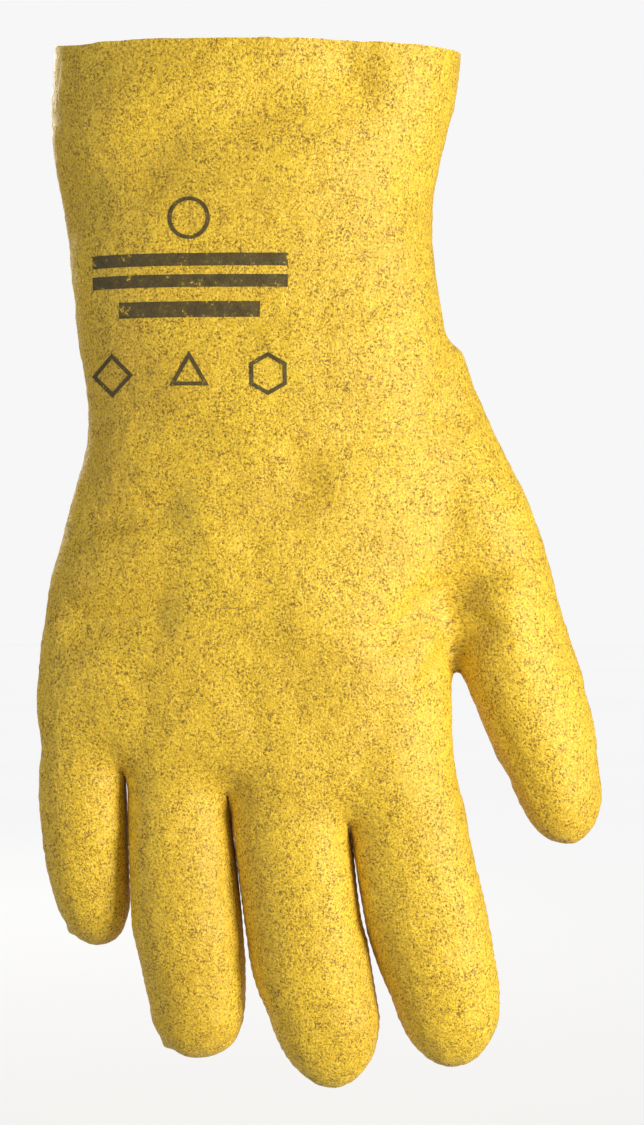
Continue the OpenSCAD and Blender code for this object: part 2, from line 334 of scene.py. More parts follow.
# From above the rim down to the webs: z, the little finger's edge, the thumb's edge, how far the back and
# the palm stand out, and the slope of the row in degrees. The thumb's root hides the palm's own edge.
SLEEVE = (
    (TOP, -58.4, 60.8, 32.4, 32.4, 0),
    (0, -59.4, 60.4, 32.0, 32.0, 0),
    (-12, -60.3, 58.8, 31.5, 31.6, 0),
    (-26, -59.6, 55.8, 30.8, 31.2, 0),
    (-42, -57.6, 52.6, 29.6, 30.4, 0),
    (-56, -55.3, 52.6, 28.6, 29.4, 0),
    (-72, -53.3, 54.2, 27.6, 28.6, 0),
    (-88, -51.3, 56.6, 26.8, 28.0, 0),
    (-102, -49.5, 58.6, 26.0, 27.6, 0),
    (-114, -49.9, 60.0, 25.4, 27.4, 0),
    (-127, -52.8, 60.4, 25.0, 27.2, 0),
    (-142, -56.8, 59.8, 24.2, 26.6, 1),
    (-158, -60.0, 59.0, 23.0, 25.2, 3),
    (-174, -61.9, 58.3, 21.6, 23.6, 6),
    (-189, -62.8, 58.0, 20.2, 22.0, 9),
    (-201, -63.4, 58.6, 18.6, 20.2, 12),
    (-211, -62.6, 60.4, 15.6, 17.0, 13),
    (-216.5, -59.0, 58.4, 11.0, 12.5, 13.4),
    (-219, -52.0, 52.0, 6.0, 7.5, 13.4),
)
SLEEVE_STEP = 3.0
SLEEVE_SIDES = 96
SLEEVE_SQUARENESS = 2.3
LAST_TURNS = (-214, -218)  # extra rings where the palm closes quickly


def sleeve_rings():
    """The cuff and palm as rings that run downwards, tilted more and more to the row of crotches."""
    rows = np.array(SLEEVE, float)[::-1]
    count = int((rows[-1, 0] - rows[2, 0]) / SLEEVE_STEP)
    closing = [LAST_TURNS[0], rows[1, 0], LAST_TURNS[1], rows[0, 0]]
    z = np.concatenate([np.linspace(rows[-1, 0], rows[2, 0], count), closing])
    z, left, right, back, palm, tilt = along(rows[:, 0], rows, z).T
    flat = outline((right - left) / 2, back, palm, SLEEVE_SQUARENESS, SLEEVE_SIDES)
    x = flat[..., 0] + ((left + right) / 2)[:, None]
    return np.stack([x, flat[..., 1], z[:, None] - x * np.tan(np.radians(tilt))[:, None]], -1)


# ---- distance fields ----

MARGIN = 7.0  # room around the frame's box
LOW = np.floor((np.array(CAD_BOX[0]) / MM - MARGIN) / VOXEL / LINER_STEP).astype(int) * LINER_STEP
HIGH = np.ceil((np.array(CAD_BOX[1]) / MM + MARGIN) / VOXEL).astype(int)
X, Y, Z = (np.arange(a, b) * VOXEL for a, b in zip(LOW, HIGH))
X, Y, Z = X[:, None, None], Y[None, :, None], Z[None, None, :]


def loft_field(rings):
    """Distance from the closed form through rings of points that run downwards."""
    count, sides = rings.shape[:2]
    points = np.concatenate([rings.reshape(-1, 3), [rings[0].mean(0)], [rings[-1].mean(0)]])
    r, i = np.meshgrid(np.arange(count - 1), np.arange(sides), indexing="ij")
    a, b = r * sides + i, r * sides + (i + 1) % sides
    walls = np.stack([a, b, b + sides, a, b + sides, a + sides], -1).reshape(-1, 3)
    k = np.arange(sides)
    ahead = (k + 1) % sides
    last = (count - 1) * sides
    top = np.stack([ahead, k, np.full(sides, count * sides)], 1)
    bottom = np.stack([last + k, last + ahead, np.full(sides, count * sides + 1)], 1)
    grid = vdb.FloatGrid.createLevelSetFromPolygons(
        points.astype(np.float32),
        triangles=np.concatenate([walls, top, bottom]).astype(np.uint32),
        transform=vdb.createLinearTransform(voxelSize=VOXEL),
        halfWidth=BAND / VOXEL,
    )
    field = np.empty([len(X), Y.shape[1], Z.shape[2]], np.float32)
    grid.copyToArray(field, ijk=tuple(int(v) for v in LOW))
    return field


def between(a, b):
    """Where two neighbouring fingers meet: a point, and the direction across towards the thumb."""
    points = []
    for k in (0, 2):
        ends = []
        for name in (a, b):
            digit = DIGIT[name]
            centre, _, _, half_w, _ = digit.frames(digit.stations[k : k + 1])
            ends.append((centre[0], half_w[0]))
        (p, w), (q, v) = ends
        points.append(p + (q - p) * w / (w + v))
    down = unit((points[1] - points[0]) * vec(1, 0, 1))
    return points[0], vec(-down[2], 0, down[0])


PALM = loft_field(sleeve_rings())
FORM = {name: loft_field(DIGIT[name].rings()) for name in DIGITS}
MEET = {pair: between(*pair) for pair in zip(FINGERS, FINGERS[1:])}


def below_row(x, z):
    return (x - ROW_AT[0]) * ROW_DOWN[0] + (z - ROW_AT[2]) * ROW_DOWN[2]


def finger_field(name):
    """The palm with one finger, clipped where its neighbours press on it."""
    field = smin(PALM, FORM[name], FILLET)
    for pair, (at, across) in MEET.items():
        if name in pair:
            apart = (X - at[0]) * across[0] + (Z - at[2]) * across[2]
            gap = TOUCH + SPREAD * np.maximum(below_row(X, Z) - WEB, 0)
            field = np.maximum(field, (apart if name == pair[0] else -apart) + gap)
    return field.astype(np.float32)


# The thumb grows out of the palm softly, and less so beside its crotch
THUMB_FILLET = 11.0
CROTCH_FILLET = 5.5
CROTCH_FROM = -150.0
CROTCH_FADE = 30.0


def hand_field(fingers):
    """The whole glove. Its fingers are joined down to the crotches and part just below them."""
    joined = FORM["little"]
    for name in FINGERS[1:]:
        joined = smin(joined, FORM[name], WEB_FILLET)
    joined = smin(PALM, joined, FILLET)
    parted = np.minimum.reduce(list(fingers.values()))
    field = joined + (parted - joined) * smooth(below_row(X, Z) / SLIT)
    near_crotch = smooth((CROTCH_FROM - Z) / CROTCH_FADE)
    fillet = THUMB_FILLET + (CROTCH_FILLET - THUMB_FILLET) * near_crotch
    return smin(field, FORM["thumb"], fillet).astype(np.float32)


# ---- skins: quads with their normals ----


class Skin:
    """Quads drawn on a field at one distance from its surface. rest keeps the undisturbed points."""

    def __init__(self, field, distance=0.0, step=1, corner=(0, 0, 0)):
        grid = vdb.FloatGrid(BAND)
        grid.transform = vdb.createLinearTransform(voxelSize=VOXEL * step)
        coarse = np.ascontiguousarray(np.clip(field[::step, ::step, ::step], -BAND, BAND))
        grid.copyFromArray(coarse, ijk=tuple(int(v + c) // step for v, c in zip(LOW, corner)))
        points, quads = grid.convertToQuads(isovalue=distance)
        self.points = points.astype(float)
        self.quads = quads.astype(np.int64)
        self.rest = self.points
        self.turn()

    def keep(self, faces):
        """Drops the other faces and the points that only they use."""
        used, flat = np.unique(self.quads[faces], return_inverse=True)
        self.quads = flat.reshape(-1, 4)
        for name in ("points", "rest", "normals"):
            setattr(self, name, getattr(self, name)[used])

    def turn(self):
        """Works out the normal at each point from the faces around it."""
        a, b, c, d = (self.points[self.quads[:, k]] for k in range(4))
        face = np.cross(c - a, d - b)
        total = np.zeros_like(self.points)
        for k in range(4):
            for axis in range(3):
                total[:, axis] += np.bincount(self.quads[:, k], face[:, axis], len(total))
        self.normals = total / np.maximum(np.linalg.norm(total, axis=1), 1e-9)[:, None]

    def flip(self):
        self.quads = self.quads[:, ::-1]
        self.normals = -self.normals

    def centres(self):
        return self.rest[self.quads].mean(1)

    def cut_top(self, level):
        """Ends the skin in a level edge."""
        self.keep(self.points[self.quads][..., 2].min(1) < level)
        self.points = self.points.copy()
        self.points[:, 2] = np.minimum(self.points[:, 2], level)
        self.rest = self.points

    def part(self, faces):
        """A copy with only these faces, which keeps the whole skin's normals."""
        copy = object.__new__(Skin)
        copy.quads, copy.points = self.quads, self.points
        copy.rest, copy.normals = self.rest, self.normals
        copy.keep(faces)
        return copy

    def add(self, points, rest, normals):
        """Adds points and gives the number of the first."""
        first = len(self.points)
        self.points = np.concatenate([self.points, points])
        self.rest = np.concatenate([self.rest, rest])
        self.normals = np.concatenate([self.normals, np.broadcast_to(normals, points.shape)])
        return first

    def add_lip(self, level, inwards, down):
        """Turns the level top edge inwards as a flat lip, and then down by a wall where down isn't 0."""
        edges = np.stack([self.quads, np.roll(self.quads, -1, 1)], -1).reshape(-1, 2)
        edges = edges[(self.rest[edges][..., 2] > level - 1e-6).all(1)]
        known = {(a, b) for a, b in edges.tolist()}
        rim = np.array([(a, b) for a, b in edges.tolist() if (b, a) not in known])
        starts, rim = np.unique(rim, return_inverse=True)
        rim = rim.reshape(-1, 2)
        out = self.normals[starts] * vec(1, 1, 0)
        out /= np.linalg.norm(out, axis=1)[:, None]
        outer, rest = self.points[starts], self.rest[starts]
        inner, inner_rest = outer - out * inwards, rest - out * inwards
        drop = vec(0, 0, down)
        rows = [(outer, rest, vec(0, 0, 1)), (inner, inner_rest, vec(0, 0, 1))]
        rows += [(inner, inner_rest, -out), (inner - drop, inner_rest - drop, -out)]
        firsts = [self.add(*r) for r in rows]
        for above, below in [(0, 1), (2, 3)] if down else [(0, 1)]:
            a, b = rim[:, 0], rim[:, 1]
            walls = [b + firsts[above], a + firsts[above], a + firsts[below], b + firsts[below]]
            self.quads = np.concatenate([self.quads, np.stack(walls, 1)])
        self.keep(np.ones(len(self.quads), bool))


# ---- relief: the unevenness of a dipped glove ----

LATTICE_SIZE = 32
LATTICE = np.random.default_rng(7).uniform(-1, 1, (LATTICE_SIZE,) * 3)


def noise(points, size, shift=0.0):
    """Smooth value noise from -1 to 1 with lumps of one size."""
    p = points / size + shift
    cell = np.floor(p).astype(int)
    t = smooth(p - cell)
    total = 0
    for corner in np.ndindex(2, 2, 2):
        weight = np.prod(np.where(corner, t, 1 - t), axis=1)
        i = (cell + corner) % LATTICE_SIZE
        total = total + weight * LATTICE[i[:, 0], i[:, 1], i[:, 2]]
    return total


# Soft dents, or swellings where the depth is below 0: from one x and z to another, width and depth.
BACK_FOLDS = (
    (-48, -138, -26, -134, 6.0, 2.4),
    (-52, -168, -30, -165, 7.0, 2.7),
    (-48, -152, -36, -150, 7.5, -0.7),
    (-50, -44, 26, -8, 11.0, 2.4),
    (-46, -20, 4, -6, 8.0, -0.9),
    (30, -8, 50, -42, 8.0, 1.8),
    (40, -170, 72, -150, 6.5, 3.2),
    (52, -184, 66, -168, 5.0, 1.8),
    (16, -120, 60, -104, 10.0, 1.5),
    (-10, -146, 36, -178, 13.0, -1.8),
    (-20, -96, 30, -84, 9.0, -0.9),
    (-30, -112, 14, -126, 8.0, 1.2),
    (2, -204, -2, -190, 5.0, 0.7),
    (-30, -196, -34, -182, 5.0, 0.7),
    (33, -210, 36, -194, 5.0, 0.7),
)
PALM_FOLDS = (
    (-50, -128, 40, -122, 6.0, 1.6),
    (-56, -178, 20, -196, 5.0, 1.3),
    (10, -140, 48, -192, 6.0, 1.5),
    (-50, -148, 0, -160, 8.0, 0.9),
    (-48, -30, 30, -44, 9.0, 1.2),
    (-20, -74, 50, -64, 9.0, -0.8),
    (-10, -98, 52, -92, 7.0, 0.9),
)


def folds(points, normals, rows, facing):
    """Sum of soft folds on the side whose normals point towards facing."""
    total = np.zeros(len(points))
    flat = points[:, [0, 2]]
    for x0, z0, x1, z1, width, depth in rows:
        a, b = vec(x0, z0), vec(x1, z1)
        t = np.clip((flat - a) @ (b - a) / ((b - a) @ (b - a)), 0, 1)
        gap = np.linalg.norm(flat - a - t[:, None] * (b - a), axis=1)
        swing = 1 + 0.35 * noise(points, 14.0, width)
        total -= depth * swing * np.exp(-((gap / width) ** 2))
    return total * smooth(0.1 + 1.5 * facing * normals[:, 1])


# Layers of noise: how high, how large and how far shifted
WAVES = ((0.6, 27.0, 0.0), (0.4, 14.0, 3.3))
GRAIN = ((0.22, 6.5, 7.1), (0.12, 3.4, 1.7), (0.15, 1.7, 5.2), (0.08, 1.1, 9.4))


def lumps(points, grain):
    """Waves of the soft shell and, where asked for, the blobs of the dip and its coarse grain."""
    layers = WAVES + GRAIN if grain else WAVES
    return sum(height * noise(points, size, shift) for height, size, shift in layers)


SEAM_HEIGHT = {"little": 0.25, "ring": 0.3, "middle": 0.5, "index": 0.3, "thumb": 0.55}
SEAM_W = 1.3
CREASE_PAIR = ((-1.8, 0.7), (1.6, 1.0))  # where two creases lie at a hinge, and their share of the depth
KNUCKLE_DEPTH = 0.35
KNUCKLE_W = 4.5
CREASE_DEPTH = 0.55
CREASE_W = 2.2


def digit_relief(digit, points):
    """Seams along a digit's two sides, and creases across its pad at its hinges."""
    s, across, up = digit.coordinates(points)
    out = smooth((s - 6) / 8)
    side = smooth((np.abs(across) - 7) / 4)
    wander = 1.2 * np.sin(s / 9.0)
    ridge = np.exp(-(((up - wander) / SEAM_W) ** 2))
    total = SEAM_HEIGHT[digit.name] * ridge * side * out * (0.8 + 0.2 * np.sin(s * 2.1))
    for station in digit.stations[1:-1]:
        for shift, share in CREASE_PAIR:
            bow = station + shift - 0.012 * across**2
            crease = np.exp(-(((s - bow) / CREASE_W) ** 2))
            total -= share * CREASE_DEPTH * crease * smooth(up / 9) * out
        knuckle = np.exp(-(((s - station) / KNUCKLE_W) ** 2))
        total -= KNUCKLE_DEPTH * knuckle * smooth(-up / 9) * out
    return total


# The small knot left where the liner's seam ends at a fingertip: how far to the side it lies
NUBS = {"little": -8.0, "ring": -11.0}
NUB_HEIGHT = 1.3
NUB_RADIUS = 1.8
NUB_FROM_TIP = 5.0


def tip_nub(digit, points, across):
    centre, side, _, half_w, _ = digit.frames(vec(digit.length - NUB_FROM_TIP))
    at = centre[0] + side[0] * math.copysign(half_w[0], across)
    return NUB_HEIGHT * np.exp(-((np.linalg.norm(points - at, axis=1) / NUB_RADIUS) ** 2))


QUIET_FROM = 3.5  # the relief fades out this near to the wall between two fingers


def quiet_slits(points):
    """Falls to 0 where two fingers press on each other, so that they don't cut into each other."""
    share = np.ones(len(points))
    below = smooth(below_row(points[:, 0], points[:, 2]) / SLIT)
    for at, across in MEET.values():
        apart = np.abs((points - at) @ across)
        share *= 1 - below * (1 - smooth(apart / QUIET_FROM))
    return share


RIM_PEAK = 1.6
RIM_PEAK_AT = 6.0  # from the little finger's edge
RIM_PEAK_W = 3.5
RIM_FADE = 9.0


def rim_wave(points):
    """The raw cut edge isn't quite level, and rises to a small peak on the little finger's side."""
    level = points * vec(1, 1, 0)
    wave = 0.35 * noise(level, 19.0, 2.2) + 0.2 * noise(level, 4.0, 6.1)
    from_edge = points[:, 0] - CAD_BOX[0][0] / MM - RIM_PEAK_AT
    peak = RIM_PEAK * np.exp(-((from_edge / RIM_PEAK_W) ** 2))
    return (wave + peak) * smooth(1 + points[:, 2] / RIM_FADE)


FINGERS_BELOW = -200.0  # no finger's own piece reaches this high
THUMB_EDGE = 60.2  # the thumb stands free beyond this x at its crotch, and further out below it
THUMB_SPLAY = 0.3
CROTCH_Z = -183.0


def on_thumb(points):
    """Which points lie on the thumb beyond the palm's edge."""
    thumb = DIGIT["thumb"]
    edge = THUMB_EDGE + THUMB_SPLAY * np.maximum(CROTCH_Z - points[:, 2], 0)
    return ((points - thumb.root) @ thumb.start > THUMB_CUT) & (points[:, 0] > edge)


def roughen(skin, grain=True, finger=None):
    """Displaces a skin along its normals."""
    points, normals = skin.rest, skin.normals
    move = lumps(points, grain) + folds(points, normals, BACK_FOLDS, -1)
    move = (move + folds(points, normals, PALM_FOLDS, 1)) * quiet_slits(points)
    if grain:
        digit = DIGIT[finger or "thumb"]
        near = np.ones(len(points), bool) if finger else on_thumb(points)
        move[near] += digit_relief(digit, points[near])
        if finger in NUBS:
            move += tip_nub(digit, points, NUBS[finger])
    skin.points = points + normals * move[:, None]
    skin.points[:, 2] += rim_wave(points)
    skin.turn()


# ---- meshes ----


def make_object(name, skin, finish):
    """A mesh piece from a skin, with its own normals and the rest places that the materials read."""
    mesh = bpy.data.meshes.new(name)
    mesh.from_pydata((skin.points * MM).tolist(), [], skin.quads.tolist())
    mesh.shade_smooth()
    rest = mesh.attributes.new("rest", "FLOAT_VECTOR", "POINT")
    rest.data.foreach_set("vector", (skin.rest * MM).astype(np.float32).ravel())
    mesh.normals_split_custom_set_from_vertices(skin.normals.tolist())
    mesh.materials.append(finish)
    obj = bpy.data.objects.new(name, mesh)
    bpy.context.scene.collection.objects.link(obj)
    return obj


def blend_ends(digit, k):
    """Where the bend at hinge k of a digit starts and ends."""
    if k == 0:
        low, high = digit.upper
        return digit.root + digit.way * (low + EDGE), digit.root + digit.way * (high - EDGE)
    s = digit.cuts[k - 1]
    end = digit.point(digit.cuts[k] - EDGE if k < len(digit.cuts) else BEND_TO[digit.name])
    skew = 0
    if k == 1:
        along_it = unit(end - digit.point(s))
        half_w = digit.frames(vec(s))[3][0]
        skew = half_w * math.tan(math.acos(min(1, along_it @ digit.way)))
    return digit.point(s + skew + EDGE), end


def bend(obj, ends):
    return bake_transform(obj)


WRIST_BEND = (WRIST + vec(0, 0, WRIST_REACH), WRIST - vec(0, 0, WRIST_REACH))


def hand_piece(name, skin, finish, nodes):
    obj = bend(make_object(name, skin, finish), WRIST_BEND)
    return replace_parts(obj, *nodes)


def digit_pieces(name, skin, layer, finish, nodes):
    """The parts of a digit, each of which reaches over the hinge at its upper end."""
    digit = DIGIT[name]
    centres = skin.centres()
    which = digit.past(centres, digit.upper[1]).astype(int)
    if len(PARTS[name]) > 2:
        which += (which == 1) & (digit.coordinates(centres)[0] > digit.cuts[1])
    for k, part in enumerate(PARTS[name]):
        piece = make_object(f"{name}_{part}_{layer}_look", skin.part(which == k), finish)
        bend(piece, blend_ends(digit, k))
        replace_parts(piece, *[f"{name}_{part}_{node}" for node in nodes])


CROP_ABOVE = vec(26, 26, 24)
CROP_BELOW = vec(26, 26, 14)


def crop(name):
    """The part of the grid that holds one finger."""
    points = DIGIT[name].points
    low = np.floor((points.min(0) - CROP_BELOW) / VOXEL).astype(int) - LOW
    high = np.ceil((points.max(0) + CROP_ABOVE) / VOXEL).astype(int) - LOW
    low = np.maximum(low, 0) // LINER_STEP * LINER_STEP
    return low, tuple(slice(a, b) for a, b in zip(low, high))


def on_finger(name, points):
    """Which points lie on a finger below its first cut."""
    found = DIGIT[name].past(points, DIGIT[name].upper[0])
    for pair, (at, across) in MEET.items():
        if name in pair:
            apart = (points - at) @ across
            found &= (apart < 0) == (name == pair[0])
    return found & (points[:, 2] < FINGERS_BELOW)


def finger_skin(name, field, distance, step):
    """One finger's skin below the crotches, with the walls where its neighbours press on it."""
    corner, room = crop(name)
    skin = Skin(field[room], distance, step, corner)
    if distance < 0:
        roughen(skin, grain=False)
    else:
        roughen(skin, finger=name)
    centres = skin.centres()
    wall = np.zeros(len(centres), bool)
    for pair, (at, across) in MEET.items():
        if name in pair:
            wall |= np.abs((centres - at) @ across) < 2 * TOUCH
    wall &= below_row(centres[:, 0], centres[:, 2]) > WALL_TOP
    return skin.part(wall | on_finger(name, centres))


def hand_skin(field, distance, step, level):
    """The skin of the cuff, palm and thumb, and which of its faces are the thumb's own."""
    skin = Skin(field, distance, step)
    skin.cut_top(level)
    roughen(skin, grain=distance == 0)
    centres = skin.centres()
    thumb = on_thumb(centres)
    hand = ~thumb
    for name in FINGERS:
        hand &= ~on_finger(name, centres)
    return skin, hand, thumb


# ---- materials ----


def material(name):
    """A Principled material, its shader, a function that adds nodes and one that links to the shader."""
    made = bpy.data.materials.new(name)
    made.use_nodes = True
    tree = made.node_tree
    shader = tree.nodes["Principled BSDF"]

    def node(kind, sockets=(), **settings):
        added = tree.nodes.new("ShaderNode" + kind)
        for key, value in settings.items():
            setattr(added, key, value)
        for key, value in dict(sockets).items():
            if isinstance(value, bpy.types.NodeSocket):
                tree.links.new(value, added.inputs[key])
            else:
                added.inputs[key].default_value = value
        return added.outputs[0]

    def shade(**values):
        for key, value in values.items():
            socket = shader.inputs[key.replace("_", " ")]
            if isinstance(value, bpy.types.NodeSocket):
                tree.links.new(value, socket)
            else:
                socket.default_value = value

    return made, node, shade


def rest_place(node):
    """The undisturbed place of a point, in millimetres, so that patterns stay put when the glove bends."""
    place = node("Attribute", attribute_name="rest").node.outputs["Vector"]
    return node("VectorMath", {0: place, "Scale": 1 / MM}, operation="SCALE")


def lump_noise(node, place, size, detail=2.0, roughness=0.5):
    sockets = {"Vector": place, "Scale": 1 / size, "Detail": detail, "Roughness": roughness}
    return node("TexNoise", sockets)


def step(node, value, low, high, start=0.0, end=1.0):
    sockets = {"Value": value, 1: low, 2: high, 3: start, 4: end}
    return node("MapRange", sockets, interpolation_type="SMOOTHSTEP")


def math_node(node, operation, a, b=0.0, c=0.0):
    return node("Math", {0: a, 1: b, 2: c}, operation=operation)


def mix_colours(node, share, a, b):
    added = node("Mix", data_type="RGBA").node
    tree = added.id_data
    for key, value in ((0, share), (6, a), (7, b)):
        if isinstance(value, bpy.types.NodeSocket):
            tree.links.new(value, added.inputs[key])
        else:
            added.inputs[key].default_value = value
    return added.outputs[2]


YELLOW = (0.91, 0.62, 0.034, 1)
OCHRE = (0.66, 0.40, 0.024, 1)
BROWN = (0.21, 0.115, 0.014, 1)
LEMON = (1.0, 0.74, 0.06, 1)
INK = (0.045, 0.036, 0.016, 1)
FADED_INK = (0.10, 0.075, 0.025, 1)
COTTON = (0.83, 0.79, 0.68, 1)
COTTON_SHADE = (0.52, 0.47, 0.36, 1)
SOIL = (0.60, 0.50, 0.30, 1)
THREAD = (0.88, 0.84, 0.72, 1)
THREAD_SHADE = (0.55, 0.50, 0.38, 1)


def coating_colour(node, place):
    """Yellow with ochre patches, painted shade in the pits of its grain (darker ochre and dark brown flecks
    where the grain is low) and a painted highlight of lemon on its high grain.
    """
    patches = lump_noise(node, place, 30, 3)
    grain = lump_noise(node, place, 0.72, 1.5, 0.6)
    fine = lump_noise(node, place, 0.38, 1)
    swarm = lump_noise(node, place, 4, 3, 0.6)
    height = math_node(node, "MULTIPLY_ADD", fine, 0.45, math_node(node, "MULTIPLY", grain, 0.75))
    leaned = math_node(node, "MULTIPLY_ADD", swarm, 0.3, height)
    # painted shade: dark brown flecks where the grain and its clusters are low, standing for the shadow in
    # its pits
    painted_pit_shade = step(node, leaned, 0.53, 0.75, 1, 0)
    base = mix_colours(node, step(node, patches, 0.38, 0.66, 0.05, 0.65), YELLOW, OCHRE)
    # painted shade: darker ochre where the grain is low
    base = mix_colours(node, step(node, leaned, 0.62, 0.95, 0.9, 0), base, OCHRE)
    # painted highlight: lemon yellow on the grain's high points
    base = mix_colours(node, step(node, height, 0.6, 0.8, 0, 0.7), base, LEMON)
    # the painted pit shade is mixed in as dark brown
    return mix_colours(node, math_node(node, "MULTIPLY", painted_pit_shade, 0.95), base, BROWN), height, painted_pit_shade


def coating_finish():
    """Dipped PVC with a coarse, slightly glossy grain."""
    made, node, shade = material("coating_pvc")
    place = rest_place(node)
    # the colour carries painted shade in the grain's pits and a painted highlight on its high grain; the
    # pit mask also sets roughness
    colour, height, painted_pit_shade = coating_colour(node, place)
    bump = node("Bump", {"Strength": 0.8, "Distance": 0.0005, "Height": height})
    shade(Base_Color=colour, Normal=bump)
    shade(Roughness=step(node, painted_pit_shade, 0, 1, 0.46, 0.7))
    shade(Specular_IOR_Level=0.42, Sheen_Weight=0.06, Sheen_Roughness=0.5)
    return made


def liner_finish():
    """Cream cotton knit: rows of small loops."""
    made, node, shade = material("liner_knit")
    place = rest_place(node)
    columns = node("TexWave", {"Vector": place, "Scale": 0.26, "Distortion": 1.2, "Detail": 1.0})
    across = node("VectorMath", {0: place, 1: (0.0, 0.0, 1.0)}, operation="MULTIPLY")
    rows = node("TexWave", {"Vector": across, "Scale": 0.3, "Distortion": 0.6}, bands_direction="Z")
    fuzz = lump_noise(node, place, 0.5, 2)
    loops = math_node(node, "MULTIPLY", columns.node.outputs["Fac"], rows.node.outputs["Fac"])
    height = math_node(node, "MULTIPLY_ADD", fuzz, 0.4, loops)
    soiled = step(node, lump_noise(node, place, 22, 3), 0.45, 0.7)
    # painted shade: the knit is darker where its loops are low
    base = mix_colours(node, height, COTTON_SHADE, COTTON)
    colour = mix_colours(node, math_node(node, "MULTIPLY", soiled, 0.35), base, SOIL)
    bump = node("Bump", {"Strength": 0.8, "Distance": 0.0006, "Height": height})
    shade(Base_Color=colour, Normal=bump)
    shade(Roughness=0.92, Specular_IOR_Level=0.15, Sheen_Weight=0.25, Sheen_Roughness=0.6)
    return made


def thread_finish():
    """Overlocked cotton thread."""
    made, node, shade = material("seam_thread")
    place = rest_place(node)
    wave = {"Vector": place, "Scale": 0.5, "Distortion": 0.8}
    twist = node("TexWave", wave, bands_direction="DIAGONAL")
    fuzz = lump_noise(node, place, 0.4, 2)
    height = math_node(node, "MULTIPLY_ADD", fuzz, 0.5, twist.node.outputs["Fac"])
    # painted shade: the thread is darker in the grooves of its twist
    colour = mix_colours(node, height, THREAD_SHADE, THREAD)
    bump = node("Bump", {"Strength": 0.7, "Distance": 0.0004, "Height": height})
    shade(Base_Color=colour, Normal=bump)
    shade(Roughness=0.85, Specular_IOR_Level=0.2, Sheen_Weight=0.2)
    return made


def ink_finish():
    """Dark ink, rubbed off the high grain here and there."""
    made, node, shade = material("marking_ink")
    place = rest_place(node)
    # under is the coating's colour, with its painted pit shade and painted grain highlight, seen where the
    # ink is rubbed off
    under, height, _ = coating_colour(node, place)
    worn = lump_noise(node, place, 3.0, 3, 0.7)
    rubbed = step(node, math_node(node, "MULTIPLY_ADD", height, 0.5, worn), 0.93, 1.04, 0.06, 0.75)
    faded = mix_colours(node, step(node, worn, 0.4, 0.7), INK, FADED_INK)
    shade(Base_Color=mix_colours(node, rubbed, faded, under))
    shade(Normal=node("Bump", {"Strength": 0.6, "Distance": 0.0004, "Height": height}))
    shade(Roughness=step(node, worn, 0.3, 0.7, 0.5, 0.68), Specular_IOR_Level=0.35)
    return made


# ---- the pieces ----

LEVEL = -0.35  # the liner ends a little below the coating's cut edge
LIP_WALL = 3.0


def build_coating(fingers, hand):
    """The yellow shell. Returns the hand's skin, which the marking lies on."""
    finish = coating_finish()
    skin, on_hand, thumb = hand_skin(hand, 0.0, 1, 0.0)
    above = skin.centres()[:, 2] > CUFF_CUT
    cuff = skin.part(on_hand & above)
    cuff.add_lip(0.0, COATING, LIP_WALL)
    cuff = make_object("cuff_shell", cuff, finish)
    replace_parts(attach(cuff, "cuff"), "cuff_coating")
    below = skin.part(on_hand & ~above)
    hand_piece("hand_shell", below, finish, ("wrist_bend", "hand_coating"))
    digit_pieces("thumb", skin.part(thumb), "coating", finish, ("bend", "coating"))
    for name in FINGERS:
        outer = finger_skin(name, fingers[name], 0.0, 1)
        digit_pieces(name, outer, "coating", finish, ("bend", "coating"))
    return skin


def build_liner(fingers, hand):
    """The cotton inside: its faces look into the glove. Returns the whole inner skin."""
    finish = liner_finish()
    depth = -(COATING + LINER)
    skin, on_hand, thumb = hand_skin(hand, depth, LINER_STEP, LEVEL)
    skin.flip()
    for side in ("back", "palm"):
        half = skin.part(on_hand & ((skin.centres()[:, 1] < 0) == (side == "back")))
        half.add_lip(LEVEL, LINER, 0)
        nodes = (f"cuff_liner_{side}", f"hand_liner_{side}")
        hand_piece(f"liner_{side}", half, finish, nodes)
    digit_pieces("thumb", skin.part(thumb), "liner", finish, ("liner",))
    for name in FINGERS:
        inner = finger_skin(name, fingers[name], depth, LINER_STEP)
        inner.flip()
        digit_pieces(name, inner, "liner", finish, ("liner",))
    return skin


SEAM_HALF_W = 1.7
SEAM_RISE = 1.0
SEAM_STEP = 0.8
SEAM_SIDES = 10
STITCH = 2.4
SEAM_END = -176.0


def surface_tree(skin, faces=None):
    quads = skin.quads if faces is None else skin.quads[faces]
    return BVHTree.FromPolygons(skin.points.tolist(), quads.tolist())


